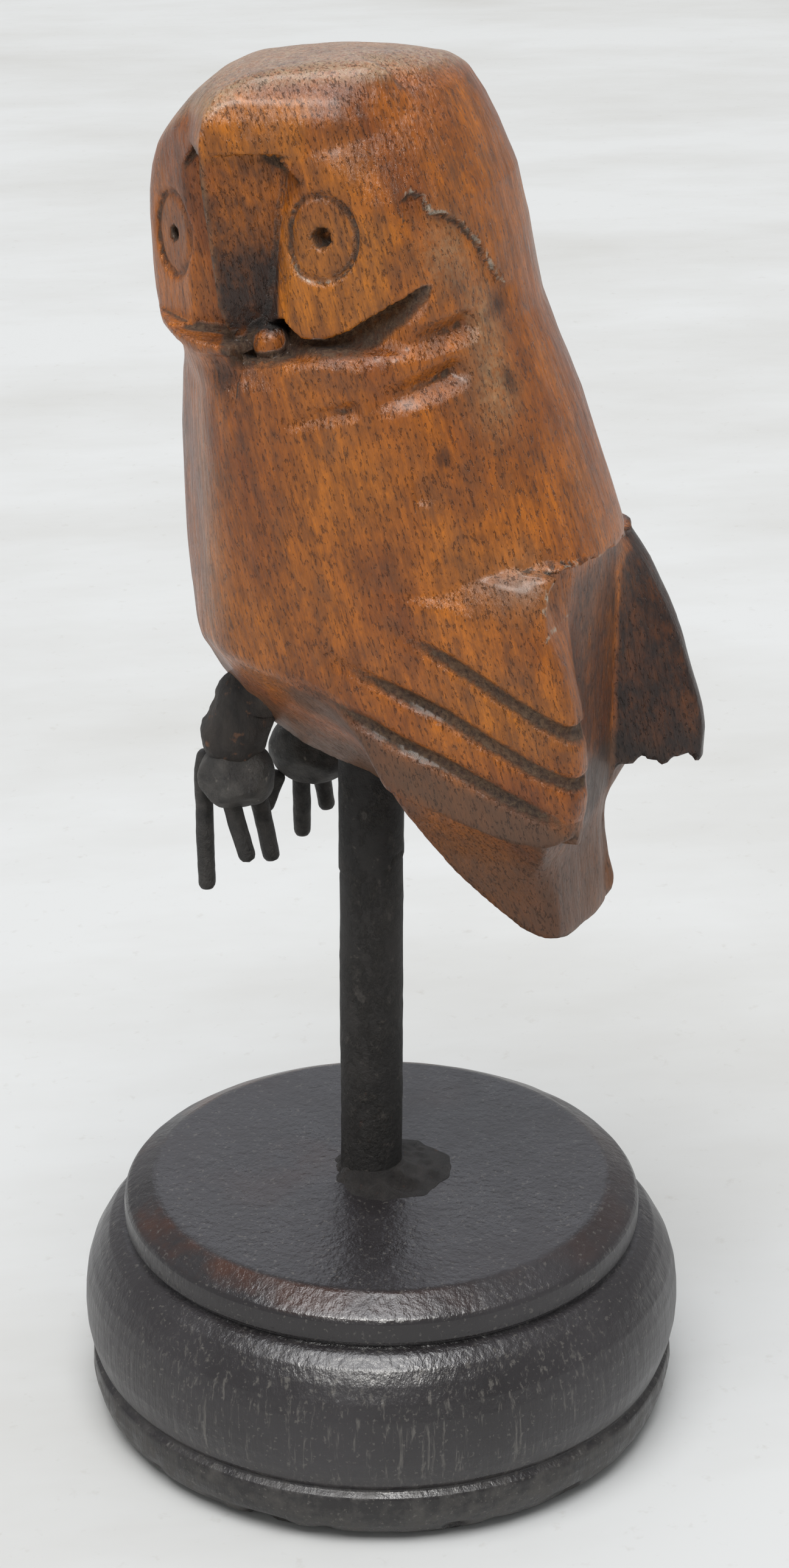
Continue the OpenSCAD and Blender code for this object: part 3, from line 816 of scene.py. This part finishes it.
# Dull brown on the tail, the lower wings, the underside and the eyes' discs, and more painted shade on
# the right front
lower_wing = ease(far_from_line(py, pz, UNDER_GROOVES)[0], 4.5, 1.5) * (pz < 122)
underside = fade(pz - np.interp(py, *BELLY), 5, 11) * fade(py, 0, 8)
dull_and_shade = np.clip(0.85 * fade(pz, 94, 114) + 0.7 * patch(*SHOULDER) + 0.9 * lower_wing
               + 0.8 * underside + 0.45 * far_front_shade, 0, 1)
in_eye = fade(np.minimum(left_ring, right_ring), -0.8, 0.2) * (ahead > 10)
dull_and_shade = np.maximum(dull_and_shade, 0.22 * in_eye)

# Chalky dust on the chip's edge, under the left eye, along the step and on one knife mark
on_chip = np.exp(-(far_from_line(round_head(px, py), pz, CHIP)[0] / 0.5) ** 2)
under_eye = (np.exp(-((left_ring - 0.3) / 0.5) ** 2) * fade(pz, 180, 182) * (ahead > 12)
             * fade(aside, 14, 16.5))
on_arc = np.exp(-(far_from_line(py, pz, KNIFE_ARC)[0] / 0.5) ** 2) * (px > 12)
step_gap = far_from_line(px, pz, np.stack(STEP_LINE, -1))[0]
on_step = np.exp(-(step_gap / 0.55) ** 2) * (py > 20) * (px < 20.5)
chalk = np.clip(on_chip + 0.75 * under_eye + 0.8 * on_arc + 0.85 * on_step, 0, 1)

owl_finish, tree, shader = finish("oiled_carved_wood", 0.34, 0.45)
shader.inputs["Coat Weight"].default_value = 0.12
shader.inputs["Coat Roughness"].default_value = 0.2
GRAIN_TURN = (math.radians(16), 0, 0)
HONEY = colour("#d87a18")
RUSSET = colour("#944a12")
AMBER = colour("#e2861a")
OCHRE = colour("#b89b76")
UMBER = colour("#472510")
PORE_BROWN = colour("#33190e")
DIRT_AND_SHADE_BROWN = colour("#6b563f")
DIRT_AND_SHADE_DARK = colour("#2e2118")
SOOT_AND_SHADE_BLACK = colour("#1d1412")
DULL_BROWN = colour("#5c4331")
CHALK = colour("#b5a895")


def minus(tree, a, b):
    """The first value less the second."""
    return put(tree, "ShaderNodeMath", {0: a, 1: b}, operation="SUBTRACT").outputs[0]


def paint(name):
    """The share of one paint, which every point of the skin carries."""
    return put(tree, "ShaderNodeAttribute", attribute_name=name).outputs["Fac"]


broad = range_of(tree, pattern(tree, 80, (1, 1, 2.5), GRAIN_TURN, 5, 0.62), 0.36, 0.66)
streak = range_of(tree, pattern(tree, 620, (1, 1, 11), GRAIN_TURN, 4, 0.65, 0.3), 0.34, 0.68)
hair = range_of(tree, pattern(tree, 1900, (1, 1, 22), GRAIN_TURN, 3, 0.6, seed=0.77), 0.40, 0.66)
pores = range_of(tree, pattern(tree, 2600, (1, 1, 3), GRAIN_TURN, 3, 0.65, seed=0.13), 0.58, 0.68)
gritty = pattern(tree, 1300, detail=5, rough=0.7)
mottle = range_of(tree, pattern(tree, 450, (1, 1, 2), GRAIN_TURN, 7, 0.75, seed=0.31), 0.42, 0.70)
film = range_of(tree, pattern(tree, 130, (1, 1, 1.6), GRAIN_TURN, 6, 0.72, seed=0.57), 0.50, 0.66)
tone = layer(tree, broad, HONEY, RUSSET)
tone = layer(tree, times(tree, paint("glow"), 0.8), tone, AMBER)
tone = layer(tree, times(tree, streak, 0.54), tone, layer(tree, 0.55, tone, UMBER))
tone = layer(tree, times(tree, hair, 0.5), tone, layer(tree, 0.7, tone, UMBER))
tone = layer(tree, times(tree, mottle, 0.85), tone, layer(tree, 0.8, tone, UMBER))
# Ochre for bare worn wood and for the painted highlight on the beak's ridge
wear_and_highlight = times(tree, paint("pale_wear_and_highlight"), range_of(tree, gritty, 0.35, 0.65, 0.2, 1.0))
tone = layer(tree, wear_and_highlight, tone, OCHRE)
tone = layer(tree, times(tree, film, 0.42), tone, DULL_BROWN)
tone = layer(tree, times(tree, pores, 0.28), tone, PORE_BROWN)
tone = layer(tree, times(tree, paint("dull_and_shade"), 0.85), tone, DULL_BROWN)
# Dirt in the cuts and painted shade in the recesses, laid on in dark and mid brown
dirt_and_shade_share = range_of(tree, plus(tree, paint("dirt_and_shade"), times(tree, gritty, 0.6)), 0.50, 0.95)
soil_and_shade = layer(tree, range_of(tree, gritty, 0.40, 0.62), DIRT_AND_SHADE_DARK, DIRT_AND_SHADE_BROWN)
tone = layer(tree, times(tree, dirt_and_shade_share, 0.86), tone, soil_and_shade)
# Dark stain, and painted shade on the right front, laid on in near black
soot_and_shade = range_of(tree, plus(tree, paint("stain"), times(tree, mottle, 0.3)), 0.22, 1.05)
tone = layer(tree, times(tree, soot_and_shade, 0.93), tone, SOOT_AND_SHADE_BLACK)
chalky = plus(tree, paint("chalk"), minus(tree, gritty, mottle))
chalky = range_of(tree, chalky, 0.9, 1.3)
tone = layer(tree, times(tree, chalky, 0.9), tone, CHALK)
tree.links.new(tone, shader.inputs["Base Color"])
dryness = plus(tree, times(tree, dirt_and_shade_share, 0.4), times(tree, paint("dull_and_shade"), 0.18))
shine = range_of(tree, plus(tree, streak, pattern(tree, 160, detail=3)), 0.4, 1.6, 0.24, 0.44)
tree.links.new(plus(tree, shine, dryness), shader.inputs["Roughness"])
fibre = pattern(tree, 1100, (1, 1, 8), GRAIN_TURN, 5, 0.65)
height = plus(tree, fibre, times(tree, gritty, times(tree, dirt_and_shade_share, 1.1)))
height = minus(tree, height, times(tree, pores, 0.5))
relief(tree, shader, height, 0.00055)

owl_piece = make_piece("carved_owl", owl_points, owl_faces, owl_finish)
for name, values in {"dirt_and_shade": dirt_and_shade, "stain": stain, "pale_wear_and_highlight": pale_wear_and_highlight, "glow": glow, "dull_and_shade": dull_and_shade,
                     "chalk": chalk}.items():
    coat = owl_piece.data.attributes.new(name, "FLOAT", "POINT")
    coat.data.foreach_set("value", values.astype(np.float32))
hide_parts("bird_body")

# --- Legs, feet and toes -------------------------------------------------------------------
# Each leg is a short whittled stub let into the belly, blackened, with a knob of dark mastic
# under it. Three iron wires set in the knob hang down as toes.


def tube(path, radii, around, seed, rough):
    """A round skin along a path: each ring stands across the path's direction, and its radius
    changes along the way with some unevenness. The first and last rings close to a point."""
    path, radii = np.asarray(path, float), np.asarray(radii, float)
    length = np.concatenate([[0], np.cumsum(np.linalg.norm(np.diff(path, axis=0), axis=1))])
    at = np.linspace(0, length[-1], int(length[-1] / 0.45) + 4)
    spine = np.stack([np.interp(at, length, path[:, k]) for k in range(3)], -1)
    way = np.gradient(spine, axis=0)
    way = way / np.linalg.norm(way, axis=1, keepdims=True)
    side = np.cross(way, [1, 0, 0])
    side = side / np.linalg.norm(side, axis=1, keepdims=True)
    across = np.cross(way, side)
    radius = np.interp(at, np.linspace(0, length[-1], len(radii)), radii)
    start, end = at / radius, (length[-1] - at) / radius
    from_end = np.minimum(start, end)
    radius = radius * np.sqrt(np.clip(1 - (1 - np.clip(from_end, 0.0, 1)) ** 2, 1e-4, 1))
    turn = turns(around)[:, None]
    ring = side[:, None] * np.cos(turn) + across[:, None] * np.sin(turn)
    spot = spine[:, None] + ring * radius[:, None, None]
    wobble = rough * (unevenness(*np.moveaxis(spot, -1, 0), 2.2, seed)
                      + 0.5 * unevenness(*np.moveaxis(spot, -1, 0), 0.9, seed + 1))
    wobble = wobble * ease(from_end, 0.1, 0.8)[:, None]
    spot = spine[:, None] + ring * (radius[:, None] + wobble)[..., None]
    return rings_closed(*np.moveaxis(spot, -1, 0))


leg_finish, tree, shader = finish("blackened_wood", 0.6, 0.4)
tone = layer(tree, range_of(tree, pattern(tree, 260, (1, 1, 3), detail=5, rough=0.65), 0.35, 0.68),
             colour("#1d1917"), colour("#423a34"))
tone = layer(tree, range_of(tree, pattern(tree, 600, detail=4, seed=0.6), 0.62, 0.72), tone,
             colour("#6b4a35"))
tree.links.new(tone, shader.inputs["Base Color"])
relief(tree, shader, pattern(tree, 900, (1, 1, 3), detail=6, rough=0.7), 0.0006)

# Path, radii along it and seed of each leg
LEGS = {
    "left_leg": (((6.5, -12.0, 119), (6.5, -17.5, 113), (6.4, -21.6, 102.5)),
                 (3.9, 4.4, 4.7, 5.0), 41),
    "right_leg": (((-10, -10.8, 116), (-10, -12.8, 108), (-9.6, -14.0, 101)),
                  (4.4, 4.7, 5.0, 5.2), 43),
}
for name, (path, radii, seed) in LEGS.items():
    leg = make_piece(name + "_stub", *tube(path, radii, 40, seed, 0.28), leg_finish)
    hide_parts(name)


def knob(middle, size, planes, seed):
    """A pressed lump: a ball drawn out along three axes and cut by a few flat facets, with an
    uneven skin. The radius in each direction is the least of the ball's and each facet's."""
    up, turn = np.meshgrid(np.linspace(-np.pi / 2, np.pi / 2, 46), turns(72), indexing="ij")
    way = np.stack([np.cos(up) * np.cos(turn), np.cos(up) * np.sin(turn), np.sin(up)], -1)
    radius = 1 / np.linalg.norm(way / size, axis=-1)
    for direction, reach in planes:
        direction = np.array(direction) / np.linalg.norm(direction)
        facing = np.maximum(way @ direction, 1e-3)
        radius = both_under(radius, reach / facing, 0.35)
    spot = way * radius[..., None]
    radius = (radius + 0.28 * unevenness(*np.moveaxis(spot, -1, 0), 3.0, seed)
              + 0.1 * unevenness(*np.moveaxis(spot, -1, 0), 1.1, seed + 1))
    spot = np.array(middle) + way * radius[..., None]
    return rings_closed(*np.moveaxis(spot, -1, 0))


foot_finish, tree, shader = finish("grey_mastic", 0.55, 0.45)
tone = layer(tree, range_of(tree, pattern(tree, 300, detail=5, rough=0.65), 0.35, 0.68),
             colour("#2b2826"), colour("#54504b"))
tone = layer(tree, range_of(tree, pattern(tree, 800, detail=4, seed=0.2), 0.64, 0.72), tone,
             colour("#7b746b"))
tree.links.new(tone, shader.inputs["Base Color"])
relief(tree, shader, pattern(tree, 800, detail=6, rough=0.7), 0.0006)

# Middle, half lengths, facets (way and distance) and seed of each foot
FEET = {
    "left_foot": ((6.9, -19.3, 100.9), (5.9, 5.4, 5.2),
                  (((0.7, 0.5, 0.55), 4.5), ((0.9, -0.4, 0.1), 4.8), ((0.5, 0.3, -0.8), 4.4)), 51),
    "right_foot": ((-9.6, -14.2, 99.3), (5.8, 6.4, 5.2),
                   (((0.8, 0.5, 0.4), 4.8), ((0.8, 0.1, -0.6), 4.7)), 53),
}
for name, (middle, size, planes, seed) in FEET.items():
    foot_piece = make_piece(name + "_knob", *knob(middle, np.array(size), planes, seed), foot_finish)
    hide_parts(name)

wire_finish, tree, shader = finish("black_wire", 0.5, 0.4)
tone = layer(tree, range_of(tree, pattern(tree, 500, detail=5, rough=0.65), 0.35, 0.7),
             colour("#23211f"), colour("#494541"))
tree.links.new(tone, shader.inputs["Base Color"])
relief(tree, shader, pattern(tree, 1300, detail=6, rough=0.7), 0.0005)

TOES = {
    "left_toe_1": ((6.1, -24.3, 103.8), (6.0, -24.9, 100.4), (6.0, -24.9, 94), (5.9, -24.8, 81.4)),
    "left_toe_2": ((7.7, -20.6, 99.9), (7.9, -19.2, 94), (8.2, -17.1, 88)),
    "left_toe_3": ((3.1, -18.9, 99.9), (2.6, -17.4, 94), (2.3, -15.9, 85.8)),
    "right_toe_1": ((-9.6, -16.0, 96.6), (-9.7, -16.0, 91), (-9.8, -16.0, 84.6)),
    "right_toe_2": ((-13.2, -14.7, 96.6), (-13.6, -14.1, 92), (-13.8, -13.5, 87.6)),
    "right_toe_3": ((-7.0, -18.3, 96.1), (-6.4, -19.6, 93), (-6.0, -20.5, 89.6)),
}
TOE_RADII = (1.33, 1.33, 1.25)
for seed, (name, path) in enumerate(TOES.items()):
    toe = make_piece(name + "_wire", *tube(path, TOE_RADII, 24, 61 + seed, 0.07), wire_finish)
    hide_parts(name)
